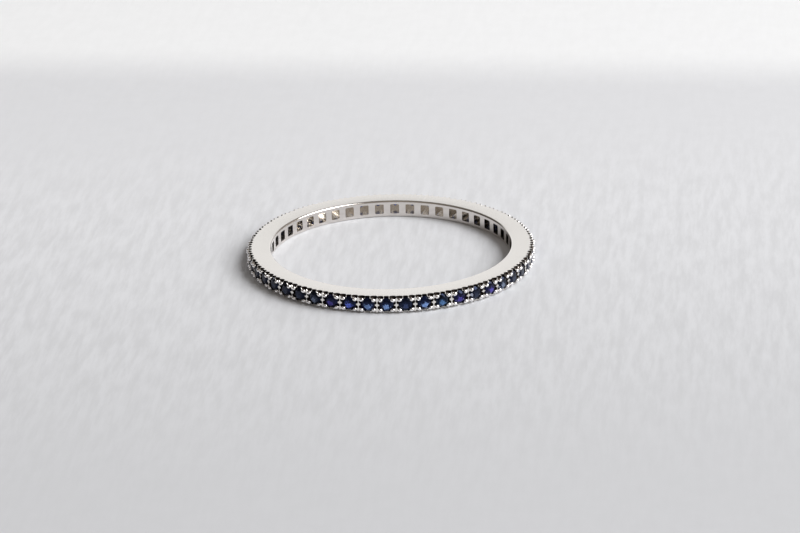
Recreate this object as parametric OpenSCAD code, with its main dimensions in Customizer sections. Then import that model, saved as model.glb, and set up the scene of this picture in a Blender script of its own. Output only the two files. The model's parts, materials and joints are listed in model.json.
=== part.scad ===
// Eternity ring: a narrow flat-sided band with a full row of round brilliant stones, each held by four raised beads.
// Units are millimetres. The ring lies on its side: the finger goes along Z, and Z = 0 is the face it rests on.

/* [Finger] */
// Inside diameter of the ring
inner_diameter = 16.5; // [14:0.1:22]

/* [Stones] */
// Diameter of each stone across its girdle
stone_diameter = 0.95; // [0.9:0.05:1.2]
// Least distance between two neighbouring stones
stone_gap = 0.3; // [0.16:0.01:0.34]
// Thickness of the girdle
girdle_height = 0.03; // [0.02:0.005:0.05]
// Clearance between a stone and the metal around it
seat_clearance = 0.02; // [0.01:0.005:0.03]

/* [Band] */
// Thickness of the band from the finger to its outer face
wall = 1.5; // [1.4:0.05:2]
// Metal beyond the stones on each side of the row
side_rail = 0.125; // [0.1:0.005:0.2]
// Depth of the stones' girdles below the outer face
girdle_depth = 0.12; // [0.08:0.01:0.16]
// Rounding of the two edges against the finger
edge_round = 0.12; // [0.06:0.01:0.2]

/* [Beads] */
// Radius of the raised beads that hold the stones
bead_radius = 0.14; // [0.12:0.01:0.16]
// How far a bead reaches over the stone's edge
bead_reach = 0.08; // [0.06:0.01:0.1]
// Height of the beads above the outer face
bead_height = 0.16; // [0.12:0.01:0.22]
// Angle of the beads from the line of the row
bead_angle = 41; // [38:1:45]
// Radius of the hollow cut between each bead and the side face
hollow_radius = 0.17; // [0.13:0.01:0.18]
// Depth of that hollow below the outer face
hollow_depth = 0.12; // [0.07:0.01:0.13]

/* [Notches and windows] */
// Radius of the U-shaped notch in the side edges at each stone
notch_radius = 0.17; // [0.12:0.01:0.2]
// Depth of the notch below the outer face
notch_depth = 0.2; // [0.12:0.01:0.24]
// Width of the window behind each stone, along the row
window_width = 0.62; // [0.4:0.02:0.7]
// Height of the window, across the row
window_height = 0.7; // [0.4:0.02:0.8]
// Depth of the seat, from the stone's girdle to the window
seat_depth = 0.33; // [0.25:0.01:0.38]

/* [Hidden] */
$fn = 48;

inner_radius = inner_diameter / 2;
outer_radius = inner_radius + wall;
band_width = stone_diameter + 2 * side_rail;
stone_radius = stone_diameter / 2;
girdle_radius = outer_radius - girdle_depth;
stone_count = floor(180 / asin((stone_diameter + stone_gap) / 2 / girdle_radius));
stone_pitch = 360 / stone_count;

// A round brilliant cut has eight table corners; its other proportions are shares of its diameter
corners = 8;
corner_pitch = 360 / corners;
table_radius = 0.285 * stone_diameter;
star_radius = 0.375 * stone_diameter;
lower_radius = 0.12 * stone_diameter;
table_level = girdle_height / 2 + 0.15 * stone_diameter;
culet_level = -girdle_height / 2 - 0.43 * stone_diameter;
// The star and lower girdle points lie in the planes of the bezel and pavilion facets
star_level = level_at(star_radius, table_radius, table_level, girdle_height / 2);
lower_level = level_at(lower_radius, 0, culet_level, -girdle_height / 2);

// The beads stand on a circle around each stone
bead_circle = stone_radius + bead_radius - bead_reach;
bead_across = bead_circle * sin(bead_angle);
bead_along = bead_circle * cos(bead_angle);
bead_foot = girdle_depth - (girdle_height + seat_clearance) / 2;
dome_radius = 1.2 * bead_radius;
hollow_length = band_width / 2 - bead_across;
// How far the cutters run past the metal
past = 0.5;

// Height of a facet's side corner at radius r, in the plane that falls from inner_r and inner_z to the girdle
function level_at(r, inner_r, inner_z, girdle_z) =
    inner_z + (r * cos(corner_pitch / 2) - inner_r) * (girdle_z - inner_z) / (stone_radius - inner_r);

// Points on a circle of radius r at height z, the first turned by a part of their pitch
function circle_points(count, r, z, turned = 0) =
    [for (i = [0 : count - 1]) [r * cos((i + turned) * 360 / count), r * sin((i + turned) * 360 / count), z]];

// Puts its children at every stone, with the origin at the girdle, +Z out of the ring and +Y along the row
module at_stones() {
    for (i = [0 : stone_count - 1])
        rotate([0, 0, (i + 0.5) * stone_pitch])
            translate([girdle_radius, 0, band_width / 2])
                rotate([0, 90, 0])
                    children();
}

// Puts its children on the outer face around a stone, at four places mirrored across and along the row
module at_four(across, along) {
    for (side = [-1, 1], end = [-1, 1])
        translate([side * across, end * along, girdle_depth])
            children();
}

// What a rounding of radius r takes from a corner at the origin
module corner_cut(r) {
    difference() {
        square(r);
        translate([r, r])
            circle(r);
    }
}

// The band before it is cut for the stones
module shank() {
    rotate_extrude()
        difference() {
            translate([inner_radius, 0])
                square([wall, band_width]);
            for (top = [0, 1])
                translate([inner_radius, top * band_width])
                    mirror([0, top])
                        corner_cut(edge_round);
        }
}

// The cup that the stone is set down into, open towards the outer face and pointed towards the finger
module cup() {
    rotate_extrude()
        polygon([
            [0, culet_level - seat_clearance],
            [lower_radius + seat_clearance, lower_level],
            [stone_radius + seat_clearance, -girdle_height / 2],
            [stone_radius + seat_clearance, girdle_depth + past],
            [0, girdle_depth + past]
        ]);
}

// The room that the stone's crown needs under the beads
module crown_room() {
    rotate_extrude()
        polygon([
            [0, 0],
            [stone_radius + seat_clearance, girdle_height / 2],
            [star_radius + seat_clearance, star_level],
            [table_radius + seat_clearance, table_level],
            [0, table_level]
        ]);
}

// The U-shaped notch, cut along the finger's direction through both side edges
module notch() {
    translate([0, 0, girdle_depth - notch_depth + notch_radius])
        rotate([0, 90, 0])
            cylinder(r = notch_radius, h = band_width + 2 * past, center = true);
}

// The hollow between a bead and the side face
module hollow() {
    translate([0, 0, hollow_radius - hollow_depth])
        rotate([0, 90, 0])
            cylinder(r = hollow_radius, h = hollow_length, center = true);
}

// The window from the finger to the seat
module window() {
    translate([-window_height / 2, -window_width / 2, inner_radius - girdle_radius - past])
        cube([window_height, window_width, girdle_radius - inner_radius - seat_depth + past]);
}

// A raised bead with a domed top, its foot sunk in the metal beside the cup
module bead() {
    rotate_extrude()
        intersection() {
            translate([0, -bead_foot])
                square([bead_radius, bead_foot + bead_height]);
            union() {
                translate([0, bead_height - dome_radius])
                    circle(dome_radius);
                translate([0, -bead_foot])
                    square([bead_radius, bead_foot + bead_height - dome_radius]);
            }
        }
}

module band() {
    color("gainsboro") {
        difference() {
            shank();
            at_stones() {
                cup();
                notch();
                window();
                at_four(band_width / 2, bead_along)
                    hollow();
            }
        }
        at_stones()
            difference() {
                at_four(bead_across, bead_along)
                    bead();
                crown_room();
            }
    }
}

// One round brilliant: table, stars, bezels, upper halves, girdle, lower halves and pavilion mains
module brilliant() {
    points = concat(
        circle_points(corners, table_radius, table_level),
        circle_points(corners, star_radius, star_level, 0.5),
        circle_points(2 * corners, stone_radius, girdle_height / 2),
        circle_points(2 * corners, stone_radius, -girdle_height / 2),
        circle_points(corners, lower_radius, lower_level, 0.5),
        [[0, 0, culet_level]]
    );
    star = corners;
    upper = 2 * corners;
    under = 4 * corners;
    lower = 6 * corners;
    culet = 7 * corners;
    function next(i) = (i + 1) % corners;
    function last(i) = (i + corners - 1) % corners;
    function wrap(i) = i % (2 * corners);
    polyhedron(points, concat(
        [[for (i = [corners - 1 : -1 : 0]) i]],
        [for (i = [0 : corners - 1]) each [
            [next(i), star + i, i],
            [star + i, upper + 2 * i, star + last(i), i],
            [upper + 2 * i + 1, upper + 2 * i, star + i],
            [upper + wrap(2 * i + 2), upper + 2 * i + 1, star + i],
            [under + 2 * i, under + 2 * i + 1, lower + i],
            [under + 2 * i + 1, under + wrap(2 * i + 2), lower + i],
            [lower + last(i), under + 2 * i, lower + i, culet]
        ]],
        [for (i = [0 : 2 * corners - 1])
            [upper + wrap(i + 1), under + wrap(i + 1), under + i, upper + i]]
    ));
}

module sapphires() {
    color("midnightblue")
        at_stones()
            brilliant();
}

band();
sapphires();
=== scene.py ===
import json
import math
import random

import bpy
from mathutils import Matrix, Vector


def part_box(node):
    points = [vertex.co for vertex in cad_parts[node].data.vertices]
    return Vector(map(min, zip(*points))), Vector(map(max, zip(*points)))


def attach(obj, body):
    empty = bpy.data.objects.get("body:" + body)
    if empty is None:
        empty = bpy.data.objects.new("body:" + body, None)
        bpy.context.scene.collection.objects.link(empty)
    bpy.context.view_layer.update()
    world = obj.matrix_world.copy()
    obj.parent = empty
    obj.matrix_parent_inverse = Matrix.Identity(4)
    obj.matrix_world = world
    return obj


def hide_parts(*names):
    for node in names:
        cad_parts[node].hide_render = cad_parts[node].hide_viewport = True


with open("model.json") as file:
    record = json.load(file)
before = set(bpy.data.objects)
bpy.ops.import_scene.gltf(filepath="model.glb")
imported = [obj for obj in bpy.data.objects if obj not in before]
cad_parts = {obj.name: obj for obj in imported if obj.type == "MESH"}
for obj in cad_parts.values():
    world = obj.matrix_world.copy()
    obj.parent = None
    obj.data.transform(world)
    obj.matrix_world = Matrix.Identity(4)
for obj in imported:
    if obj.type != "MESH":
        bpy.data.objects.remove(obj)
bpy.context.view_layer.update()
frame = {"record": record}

# Shank: the plain hoop of the casting, turned in white gold. Both side faces are flat and polished, the
# outer edges are only just broken and the inner edges are rounded for the finger. Lengths are in
# millimetres until the finished metal is scaled to metres.
MM = 0.001
inner_radius = next(m["dims"]["r_mm"] for m in frame["record"]["mounts"] if m["kind"] == "bore")
wall = 1.5
outer_radius = inner_radius + wall
band_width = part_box("band")[1].z / MM
inner_edge = 0.12
outer_edge = 0.025
shank_steps = 576


def turned(profile, steps, closed=False):
    """Points and faces of a profile of (radius, height) pairs turned about Z."""
    points, faces, rings = [], [], []
    for radius, height in profile:
        count = steps if radius > 0 else 1
        rings.append(range(len(points), len(points) + count))
        for k in range(count):
            turn = 2 * math.pi * k / count
            points.append((radius * math.cos(turn), radius * math.sin(turn), height))
    for low, high in zip(rings, rings[1:] + rings[:1] if closed else rings[1:]):
        for k in range(steps):
            after = k + 1
            loop = low[k % len(low)], low[after % len(low)], high[after % len(high)], high[k % len(high)]
            faces.append(tuple(dict.fromkeys(loop)))
    return points, faces


def corner(x, y, rounding, start, steps=8):
    """A quarter round for an outline, about (x, y) from the start angle in degrees."""
    angles = [math.radians(start + 90 * k / steps) for k in range(steps + 1)]
    return [(x + rounding * math.cos(a), y + rounding * math.sin(a)) for a in angles]


def solid(name, shape, places=(Matrix(),)):
    """One object holding a copy of the shape at each of the places."""
    points, faces = [], []
    for place in places:
        first = len(points)
        points += [place @ Vector(p) for p in shape[0]]
        faces += [[first + k for k in face] for face in shape[1]]
    mesh = bpy.data.meshes.new(name)
    mesh.from_pydata(points, [], faces)
    made = bpy.data.objects.new(name, mesh)
    bpy.context.scene.collection.objects.link(made)
    return made


shank_profile = (
    corner(inner_radius + inner_edge, inner_edge, inner_edge, 180)
    + corner(outer_radius - outer_edge, outer_edge, outer_edge, 270)
    + corner(outer_radius - outer_edge, band_width - outer_edge, outer_edge, 0)
    + corner(inner_radius + inner_edge, band_width - inner_edge, inner_edge, 90)
)
band = solid("ring_band", turned(shank_profile, shank_steps, closed=True))

# Seats: for each stone a cup is cut into the outer face with a pointed bur, and a window is pierced through
# behind it from the finger side, so that light and water pass. The cup follows the stone's own proportions.
stone_count = 48
stone_diameter = 0.95
girdle_height = 0.03
girdle_depth = 0.12
clearance = 0.02
window_width = 0.62
window_height = 0.7
window_corner = 0.09
seat_depth = 0.33
past = 0.5
round_steps = 48
half_width = band_width / 2
pitch = 2 * math.pi / stone_count
stone_radius = stone_diameter / 2
girdle_radius = outer_radius - girdle_depth
lower_radius = 0.12 * stone_diameter
culet_level = -girdle_height / 2 - 0.43 * stone_diameter


def facet_level(radius, inner, inner_level, girdle_level):
    """Height of a facet's side corner, in the plane that falls from its inner corner to the girdle."""
    share = (radius * math.cos(math.pi / 8) - inner) / (stone_radius - inner)
    return inner_level + share * (girdle_level - inner_level)


def seat(number):
    """The place of a stone: its girdle's centre, with Z out of the ring, Y along the row and X down."""
    along_row = Matrix.Rotation((number + 0.5) * pitch, 4, "Z")
    outward = Matrix.Translation((girdle_radius, 0, half_width)) @ Matrix.Rotation(math.pi / 2, 4, "Y")
    return along_row @ outward


def worked(body, tool, operation):
    """Cuts the tool from the body, or fuses it on, and clears the tool away."""
    step = body.modifiers.new(operation, "BOOLEAN")
    step.solver = "MANIFOLD"
    step.operation = operation
    step.object = tool
    body.data = bpy.data.meshes.new_from_object(body.evaluated_get(bpy.context.evaluated_depsgraph_get()))
    body.modifiers.clear()
    bpy.data.objects.remove(tool)


lower_level = facet_level(lower_radius, 0, culet_level, -girdle_height / 2)
seats = [seat(number) for number in range(stone_count)]
cup_profile = [
    (0, culet_level - clearance),
    (lower_radius + clearance, lower_level),
    (stone_radius + clearance, -girdle_height / 2),
    (stone_radius + clearance, girdle_depth + past),
    (0, girdle_depth + past),
]
worked(band, solid("cups", turned(cup_profile, round_steps), seats), "DIFFERENCE")

window_x = window_height / 2 - window_corner
window_y = window_width / 2 - window_corner
window_outline = (
    corner(window_x, window_y, window_corner, 0, 4)
    + corner(-window_x, window_y, window_corner, 90, 4)
    + corner(-window_x, -window_y, window_corner, 180, 4)
    + corner(window_x, -window_y, window_corner, 270, 4)
)
window_mouth = inner_radius - girdle_radius - past
sides = len(window_outline)
window = (
    [(x, y, z) for z in (window_mouth, -seat_depth) for x, y in window_outline],
    [(k, (k + 1) % sides, (k + 1) % sides + sides, k + sides) for k in range(sides)]
    + [tuple(range(sides - 1, -1, -1)), tuple(range(sides, 2 * sides))],
)
worked(band, solid("windows", window, seats), "DIFFERENCE")

# Bright cuts: at each stone a round graver has cut a U-shaped notch through both side edges. Beside each
# bead it has scooped a hollow that frees it from the side face, and a small pit that frees it from the bar
# between the stones. No two cuts are quite alike.
bead_radius = 0.14
bead_reach = 0.08
bead_turn = math.radians(41)
bead_circle = stone_radius + bead_radius - bead_reach
bead_across = bead_circle * math.sin(bead_turn)
notch_radius = 0.17
notch_depth = 0.2
hollow_along = 0.415
hollow_halves = 0.22, 0.235, 0.24
hollow_spread = 0.92, 1.06
pit_across = 0.17
pit_along = 0.49
pit_drop = 0.03
pit_radius = 0.14
pit_spread = 0.85, 1.08
stray = 0.012
notch_steps = 32
ball_bands = 8
ball_steps = 20
bench = random.Random(16)


def by_hand(across, along, level):
    """A place beside a stone, as near as the hand comes to it."""
    return Matrix.Translation([length + bench.uniform(-stray, stray) for length in (across, along, level)])


notch_half = half_width - bead_across
notch_ends = [(0, -notch_half), (notch_radius, -notch_half), (notch_radius, notch_half), (0, notch_half)]
notch_level = girdle_depth - notch_depth + notch_radius
lying = Matrix.Rotation(math.pi / 2, 4, "Y")
notches = []
for place in seats:
    for side in (-1, 1):
        notches.append(place @ by_hand(side * half_width, 0, notch_level) @ lying)
worked(band, solid("notches", turned(notch_ends, notch_steps), notches), "DIFFERENCE")

ball_angles = [math.pi * (k / ball_bands - 0.5) for k in range(1, ball_bands)]
ball = turned([(0, -1)] + [(math.cos(a), math.sin(a)) for a in ball_angles] + [(0, 1)], ball_steps)
for end in (-1, 1):
    scoops = []
    for place in seats:
        for side in (-1, 1):
            size = [half * bench.uniform(*hollow_spread) for half in hollow_halves]
            hollow = place @ by_hand(side * half_width, end * hollow_along, girdle_depth)
            scoops.append(hollow @ Matrix.Diagonal(size + [1]))
            pit = place @ by_hand(side * pit_across, end * pit_along, girdle_depth - pit_drop)
            scoops.append(pit @ Matrix.Scale(pit_radius * bench.uniform(*pit_spread), 4))
    worked(band, solid("scoops", ball, scoops), "DIFFERENCE")

# Beads: four little grains of the same metal are raised beside each stone and pressed over its edge with a
# round-ended tool. Each comes out a little different in place, girth and height.
bead_along = bead_circle * math.cos(bead_turn)
bead_height = 0.16
bead_neck = 0.03
bead_foot = girdle_depth - (girdle_height + clearance) / 2
bead_girths = (0.82, 0.95), (1.0, 1.22), (0.82, 1.05)
bead_slants = 0.1, 0.5
bead_steps = 20
dome_steps = 6
dome = [
    (bead_radius * math.cos(a), bead_neck + (bead_height - bead_neck) * math.sin(a))
    for a in [math.pi / 2 * k / dome_steps for k in range(dome_steps)]
]
bead = turned([(0, -bead_foot), (bead_radius, -bead_foot)] + dome + [(0, bead_height)], bead_steps)
beads = []
for place in seats:
    for side in (-1, 1):
        for end in (-1, 1):
            girth = [bench.uniform(*spread) for spread in bead_girths]
            slant = Matrix.Rotation(side * end * bench.uniform(*bead_slants), 4, "Z")
            spot = place @ by_hand(side * bead_across, end * bead_along, girdle_depth)
            beads.append(spot @ slant @ Matrix.Diagonal(girth + [1]))

table_radius = 0.285 * stone_diameter
star_radius = 0.375 * stone_diameter
table_level = girdle_height / 2 + 0.15 * stone_diameter
star_level = facet_level(star_radius, table_radius, table_level, girdle_height / 2)
crown_profile = [
    (0, 0),
    (stone_radius + clearance, girdle_height / 2),
    (star_radius + clearance, star_level),
    (table_radius + clearance, table_level),
    (0, table_level),
]
grains = solid("beads", bead, beads)
worked(grains, solid("crown_room", turned(crown_profile, round_steps), seats), "DIFFERENCE")
worked(band, grains, "UNION")

sharp_turn = math.radians(32)
band.data.transform(Matrix.Scale(MM, 4))
band.data.shade_smooth()
band.data.set_sharp_from_angle(angle=sharp_turn)
even = band.modifiers.new("even_shading", "WEIGHTED_NORMAL")
even.keep_sharp = True

# White gold: the whole casting is one alloy, warm white and polished. The side faces carry the faint haze
# of the last polishing wheel. The beads are painted whiter as a painted highlight, the bore is painted a
# little darker as a painted shade, and the cuts around the stones are painted near black as a painted
# shade.
polish_tones = (0.855, 0.825, 0.79, 1), (0.905, 0.88, 0.845, 1)
# Painted shade: the bore is painted darker than the polished metal.
bore_shade_tone = (0.69, 0.65, 0.62, 1)
# Painted highlight: the beads are painted nearly white.
bead_highlight_tone = (1.0, 0.99, 1.0, 1)
# Painted shade: the cuts around the stones are painted near black.
cut_shade_tone = (0.016, 0.012, 0.010, 1)
polish_roughness = 0.07
side_roughness = 0.14
cut_roughness = 0.25
haze_roughness = 0.06
bore_shade_share = 0.8
cloud_scale = 260
haze_scale = 2600
wheel_depth = 0.004 * MM


class Level:
    """A socket whose sums, differences and products add their Math nodes."""

    def __init__(self, finish, socket):
        self.finish, self.socket = finish, socket

    def with_math(self, operation, first, second):
        return self.finish.add("Math", {"operation": operation}, {0: first, 1: second})

    def __add__(self, other):
        return self.with_math("ADD", self, other)

    def __sub__(self, other):
        return self.with_math("SUBTRACT", self, other)

    def __rsub__(self, other):
        return self.with_math("SUBTRACT", other, self)

    def __mul__(self, other):
        return self.with_math("MULTIPLY", self, other)

    __radd__, __rmul__ = __add__, __mul__


class Finish:
    """The node tree of a material or of the surroundings."""

    def __init__(self, owner):
        owner.use_nodes = True
        self.owner, self.tree = owner, owner.node_tree
        self.tree.nodes.clear()

    def add(self, kind, settings, sockets, output=0):
        """Makes a node, its settings first and then its sockets, and gives one of its outputs."""
        node = self.tree.nodes.new("ShaderNode" + kind)
        for name, value in settings.items():
            setattr(node, name, value)
        for name, value in sockets.items():
            if isinstance(value, Level):
                self.tree.links.new(value.socket, node.inputs[name])
            else:
                node.inputs[name].default_value = value
        return Level(self, node.outputs[output]) if node.outputs else None

    def noise(self, where, scale, detail, roughness=0.5):
        sockets = {"Vector": where, "Scale": scale, "Detail": detail, "Roughness": roughness}
        return self.add("TexNoise", {}, sockets)

    def part(self, vector, axis):
        return self.add("SeparateXYZ", {}, {"Vector": vector}, axis)

    def eased(self, value, low, high, to_low=0.0, to_high=1.0):
        sockets = {"Value": value, "From Min": low, "From Max": high, "To Min": to_low, "To Max": to_high}
        return self.add("MapRange", {"interpolation_type": "SMOOTHSTEP"}, sockets)

    def blended(self, share, first, second):
        return self.add("Mix", {"data_type": "RGBA"}, {0: share, 6: first, 7: second}, 2)


gold = Finish(bpy.data.materials.new("white_gold"))
on_gold = gold.add("TexCoord", {}, {}, "Object")
height = gold.part(on_gold, "Z")
off_axis = gold.add("VectorMath", {"operation": "MULTIPLY"}, {0: on_gold, 1: (1, 1, 0)})
from_axis = gold.add("VectorMath", {"operation": "LENGTH"}, {0: off_axis}, "Value")
upright = gold.part(gold.add("NewGeometry", {}, {}, "Normal"), "Z")
on_side = gold.eased(upright * upright, 0.8, 0.97)
# Where the beads' painted highlight goes.
on_bead = gold.eased(from_axis, (outer_radius + 0.005) * MM, (outer_radius + 0.03) * MM)
# Where the bore's painted shade goes.
on_bore = gold.eased(from_axis, (inner_radius + 0.02) * MM, (inner_radius + 0.08) * MM, 1.0, 0.0)
# Where the cuts around the stones get their painted shade: below the outer face, above the windows, away
# from the side faces, and only faintly near the paper.
below_face = gold.eased(from_axis, (outer_radius - 0.04) * MM, (outer_radius - 0.008) * MM, 1.0, 0.0)
above_window = gold.eased(from_axis, (inner_radius + 1.03) * MM, (inner_radius + 1.19) * MM)
off_middle = height * (1 / MM) - half_width
flush = gold.eased(off_middle * off_middle, (half_width - 0.03) ** 2, (half_width - 0.005) ** 2)
from_paper = gold.eased(height, 0.1 * MM, 0.35 * MM, 0.15, 1.0)
painted_cut_shade = below_face * above_window * (1 - flush) * from_paper
cloud = gold.noise(on_gold, cloud_scale, 3)
haze = gold.noise(on_gold, haze_scale, 5, 0.6)
polished = gold.blended(cloud, *polish_tones)
with_bore_shade = gold.blended(on_bore * bore_shade_share, polished, bore_shade_tone)
with_bead_highlight = gold.blended(on_bead, with_bore_shade, bead_highlight_tone)
dullness = polish_roughness + on_side * side_roughness + painted_cut_shade * cut_roughness
gold_shader = gold.add("BsdfPrincipled", {}, {
    "Base Color": gold.blended(painted_cut_shade, with_bead_highlight, cut_shade_tone),
    "Metallic": 1.0,
    "Roughness": dullness + haze * haze_roughness,
    "Normal": gold.add("Bump", {}, {"Strength": 0.06, "Distance": wheel_depth, "Height": haze}),
})
gold.add("OutputMaterial", {}, {"Surface": gold_shader})
band.data.materials.clear()
band.data.materials.append(gold.owner)
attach(band, "root")
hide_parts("band")

# Sapphires: 48 round brilliants with 57 facets each, natural blue stones that differ from nearly black to
# teal and violet. They are set down into the cups, each turned its own way, and the beads hold them. A
# stone looks dark but for a flash low in its table, so each facet has its own tone; the flash, a shade over
# the upper facets, rare glints and the blue light seen through the windows are painted into these tones.
corners = 8
cell_radius = 0.14 * stone_diameter
most_lean = math.radians(1.2)
# Each kind of stone: its own dark body tone, then the tone of its painted flash.
blues_and_painted_flashes = {
    "ink": ((0.004, 0.005, 0.010), (0.03, 0.04, 0.07)),
    "navy": ((0.004, 0.007, 0.022), (0.05, 0.07, 0.16)),
    "blue": ((0.004, 0.008, 0.036), (0.15, 0.22, 0.95)),
    "pale": ((0.004, 0.008, 0.034), (0.31, 0.51, 1.0)),
    "teal": ((0.004, 0.010, 0.020), (0.11, 0.24, 0.50)),
    "violet": ((0.006, 0.005, 0.026), (0.10, 0.08, 0.42)),
    "steel": ((0.005, 0.008, 0.014), (0.22, 0.27, 0.38)),
}
# The stones that show in front, from left to right. The others come from a mixed parcel.
front_row = dict(enumerate((
    "ink", "ink", "ink", "ink", "ink", "ink", "steel", "violet", "blue", "pale", "pale", "navy",
    "pale", "teal", "violet", "ink", "violet", "steel", "ink", "ink", "ink",
), start=25))
parcel = ["ink", "navy", "navy", "blue", "pale", "teal", "violet", "steel"]
# The flash low in the table and its fringe are painted light in the facets' tones.
flash_low = 0.12
flash_stray = 0.05
flash_reach = 0.175
flash_shines = 0.55, 1.1
fringe_reach = 1.7
fringe_shines = 0, 0, 0, 0.25
# Painted shade: facets in the upper part of a stone are painted darker.
upper_shade_line = -0.1
upper_shade_depths = 0.15, 0.95
body_depths = 0.3, 1.9
# Painted highlight: now and then a crown facet is painted as a pale glint.
painted_glint = (0.6, 0.66, 0.82)
painted_glint_share = 0.03
# Painted light: pavilion facets, seen only through the windows, are painted blue as the light that passes
# through the stone.
painted_window_light = (0.28, 0.36, 0.85)


def circle(count, radius, level, turned_by=0.0):
    """Points on a circle, the first turned by a part of their pitch."""
    angles = [2 * math.pi * (k + turned_by) / count for k in range(count)]
    return [(radius * math.cos(a), radius * math.sin(a), level) for a in angles]


def brilliant():
    """Table, stars, bezels and upper halves above the girdle; lower halves and pavilion mains below it.

    The table is flat but split into cells, which carry the painted light of the pavilion's facets seen
    through it.
    """
    points = (
        circle(corners, table_radius, table_level)
        + circle(corners, star_radius, star_level, 0.5)
        + circle(2 * corners, stone_radius, girdle_height / 2)
        + circle(2 * corners, stone_radius, -girdle_height / 2)
        + circle(corners, lower_radius, lower_level, 0.5)
        + circle(corners, cell_radius, table_level, 0.5)
        + [(0, 0, culet_level), (0, 0, table_level)]
    )
    star, upper, under, lower, cell, culet = (n * corners for n in (1, 2, 4, 6, 7, 8))
    centre = culet + 1
    rim = 2 * corners
    faces = []
    for k in range(corners):
        after, before = (k + 1) % corners, (k - 1) % corners
        faces += [
            (centre, cell + before, cell + k),
            (cell + before, k, cell + k),
            (cell + k, k, after),
            (k, star + k, after),
            (k, star + before, upper + 2 * k, star + k),
            (star + k, upper + 2 * k, upper + 2 * k + 1),
            (star + k, upper + 2 * k + 1, upper + (2 * k + 2) % rim),
            (lower + k, under + 2 * k + 1, under + 2 * k),
            (lower + k, under + (2 * k + 2) % rim, under + 2 * k + 1),
            (culet, lower + k, under + 2 * k, lower + before),
        ]
    faces += [(upper + k, under + k, under + (k + 1) % rim, upper + (k + 1) % rim) for k in range(rim)]
    return points, faces


def facet_tone(seen, flash_middle, body, flash):
    """The tone of a facet whose middle is at seen: dark, darker still in the stone's upper part as painted
    shade, or with painted light where it is near the flash's middle; a few crown facets get a painted
    glint.

    Below the girdle a facet shows only through the window, painted blue as the light that the stone lets
    pass.
    """
    away = (seen - flash_middle).length / flash_reach
    depth = bench.uniform(*(upper_shade_depths if seen.x < upper_shade_line else body_depths))
    shine = 0
    if away < 1:
        shine = bench.uniform(*flash_shines)
    elif away < fringe_reach:
        shine = bench.choice(fringe_shines)
    if seen.z < -girdle_height:
        return painted_window_light
    if girdle_height < seen.z < 0.9 * table_level and bench.random() < painted_glint_share:
        return painted_glint
    return tuple(dark * depth + light * shine for dark, light in zip(body, flash))


spins = [Matrix.Rotation(bench.uniform(0, 2 * math.pi / corners), 4, "Z") for place in seats]
set_down = []
for place, spin in zip(seats, spins):
    lean = Matrix.Rotation(bench.uniform(-most_lean, most_lean), 4, "X")
    tip = Matrix.Rotation(bench.uniform(-most_lean, most_lean), 4, "Y")
    set_down.append(place @ lean @ tip @ spin)
stone = brilliant()
sapphires = solid("ring_sapphires", stone, set_down)
sapphires.data.transform(Matrix.Scale(MM, 4))

facet_middles = [sum((Vector(stone[0][k]) for k in face), Vector()) / len(face) for face in stone[1]]
tones = []
for number, spin in enumerate(spins):
    body, flash = blues_and_painted_flashes[front_row.get(number, bench.choice(parcel))]
    flash_middle = Vector((flash_low, bench.uniform(-flash_stray, flash_stray), table_level))
    tones += [facet_tone(spin @ middle, flash_middle, body, flash) for middle in facet_middles]
# Each facet's tone: the stone's own colour with its painted flash, painted shade and painted glints.
hue = sapphires.data.attributes.new("hue", "FLOAT_COLOR", "FACE")
for facet, tone in zip(hue.data, tones):
    facet.color = (*tone, 1)

gem = Finish(bpy.data.materials.new("sapphire"))
gem_shader = gem.add("BsdfPrincipled", {}, {
    "Base Color": gem.add("Attribute", {"attribute_name": "hue"}, {}, "Color"),
    "Roughness": 0.02,
    "IOR": 1.77,
    "Specular Tint": (0.14, 0.18, 0.34, 1),
    "Transmission Weight": 0.25,
})
gem.add("OutputMaterial", {}, {"Surface": gem_shader})
sapphires.data.materials.append(gem.owner)
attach(sapphires, "root")
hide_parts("sapphires")

# Paper: the ring lies on its side on a plain pale sheet. Fine slanting ribs run back over it and show most
# beside the ring. It darkens a little towards the front, and past a soft line far behind the ring it is
# lighter.
paper_half = 1.5
near_tone = (0.637, 0.652, 0.683, 1)
middle_tone = (0.766, 0.782, 0.818, 1)
far_tone = (0.945, 0.965, 0.99, 1)
blot_tone = (0.2, 0.2, 0.2, 1)
blot_share = 0.07
mottle_depth = 0.015
rib_slant = 0.12
rib_squeeze = 0.15
rib_depth_by_ring = 0.13
rib_depth_elsewhere = 0.02
far_slant = 0.12
square = [(-1, -1, 0), (1, -1, 0), (1, 1, 0), (-1, 1, 0)]
paper = solid("paper", (square, [(0, 1, 2, 3)]), [Matrix.Scale(paper_half, 4)])

sheet = Finish(bpy.data.materials.new("pale_paper"))
on_sheet = sheet.add("TexCoord", {}, {}, "Object")
across = sheet.part(on_sheet, "X")
behind = sheet.part(on_sheet, "Y")
behind_slanted = behind + across * far_slant
plain = sheet.blended(sheet.eased(behind, -0.04, 0.02), near_tone, middle_tone)
banded = sheet.blended(sheet.eased(behind_slanted, 0.036, 0.046), plain, far_tone)
along_ribs = {"X": across - behind * rib_slant, "Y": behind * rib_squeeze}
ribs = sheet.noise(sheet.add("CombineXYZ", {}, along_ribs), 1800, 4, 0.6)
mottle = sheet.noise(on_sheet, 650, 2)
by_ring = sheet.eased(behind, -0.04, -0.014) * sheet.eased(behind, 0.005, 0.03, 1.0, 0.0)
rib_depth = by_ring * rib_depth_by_ring + rib_depth_elsewhere
ribbed = (sheet.eased(ribs, 0.3, 0.7) - 0.5) * rib_depth
blots = ribbed + sheet.eased(mottle, 0.3, 0.7) * mottle_depth + blot_share
tooth = sheet.noise(on_sheet, 900, 4)
sheet_shader = sheet.add("BsdfPrincipled", {}, {
    "Base Color": sheet.blended(blots, banded, blot_tone),
    "Roughness": 0.9,
    "Normal": sheet.add("Bump", {}, {"Strength": 0.25, "Distance": 0.05 * MM, "Height": tooth}),
})
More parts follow.
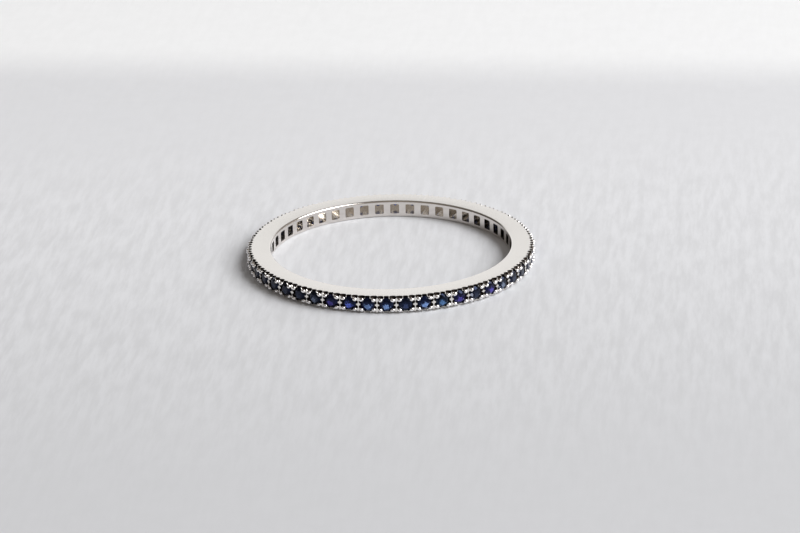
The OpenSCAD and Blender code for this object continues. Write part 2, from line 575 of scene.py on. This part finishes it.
sheet.add("OutputMaterial", {}, {"Surface": sheet_shader})
paper.data.materials.append(sheet.owner)

# Studio: a large soft window stands high on the right and a little in front. The ring's side face mirrors
# the pale wall low behind it, and the rest of the room is dim and warm.
window_place = Vector((0.70, -0.15, 0.67))
window_side = 0.80
window_power = 12.5
wall_colour = (0.97, 0.967, 0.965, 1)
lit_colour = (1.0, 0.91, 0.82, 1)
dim_colour = (0.05, 0.044, 0.039, 1)
wall_share = 0.98
front_share = 0.27
right_share = 0.4
left_share = 0.04
ceiling_share = 0.12
ring_centre = Vector((0, 0, half_width * MM))

daylight = bpy.data.lights.new("window", "AREA")
daylight.size = window_side
daylight.energy = window_power
lamp = bpy.data.objects.new("window", daylight)
lamp.location = window_place
lamp.rotation_euler = (window_place - ring_centre).to_track_quat("Z", "Y").to_euler()
bpy.context.scene.collection.objects.link(lamp)

room = bpy.data.worlds.new("room")
bpy.context.scene.world = room
air = Finish(room)
look = air.add("TexCoord", {}, {}, "Generated")
rightward = air.part(look, "X")
backward = air.part(look, "Y")
upward = air.part(look, "Z")
on_wall = air.eased(backward, 0.6, 0.88) * air.eased(upward, 0.42, 0.6, 1.0, 0.0) * wall_share
lit = (
    air.eased(backward, -0.9, -0.1, front_share, 0.0)
    + air.eased(rightward, 0.3, 0.9) * right_share
    + air.eased(rightward, -0.9, -0.2, left_share, 0.0)
    + air.eased(upward, 0.2, 1.0) * ceiling_share
)
room_colour = air.blended(on_wall, air.blended(lit, dim_colour, lit_colour), wall_colour)
air.add("OutputWorld", {}, {"Surface": air.add("Background", {}, {"Color": room_colour, "Strength": 1.0})})
bpy.context.scene.view_settings.view_transform = "Standard"

# Camera: a long lens some 28 centimetres away, looking down on the ring at about 21 degrees. It stands a
# little to the left and is tipped by about a degree.
camera_distance = 0.2816
camera_rise = math.radians(21.41)
camera_turn = math.radians(-1.55)
camera_roll = math.radians(-1.22)
image_width, image_height = 800, 533
ring_column, ring_row = 391.1, 251.6
to_camera = Vector((
    math.sin(camera_turn) * math.cos(camera_rise),
    -math.cos(camera_turn) * math.cos(camera_rise),
    math.sin(camera_rise),
))
lens = bpy.data.cameras.new("camera")
lens.lens = 184.6
lens.sensor_width = 36
lens.clip_start = 0.01
lens.shift_x = (image_width / 2 - ring_column) / image_width
lens.shift_y = (ring_row - image_height / 2) / image_width
camera = bpy.data.objects.new("camera", lens)
facing = to_camera.to_track_quat("Z", "Y").to_matrix().to_4x4() @ Matrix.Rotation(camera_roll, 4, "Z")
camera.matrix_world = Matrix.Translation(ring_centre + to_camera * camera_distance) @ facing
bpy.context.scene.collection.objects.link(camera)
bpy.context.scene.camera = camera
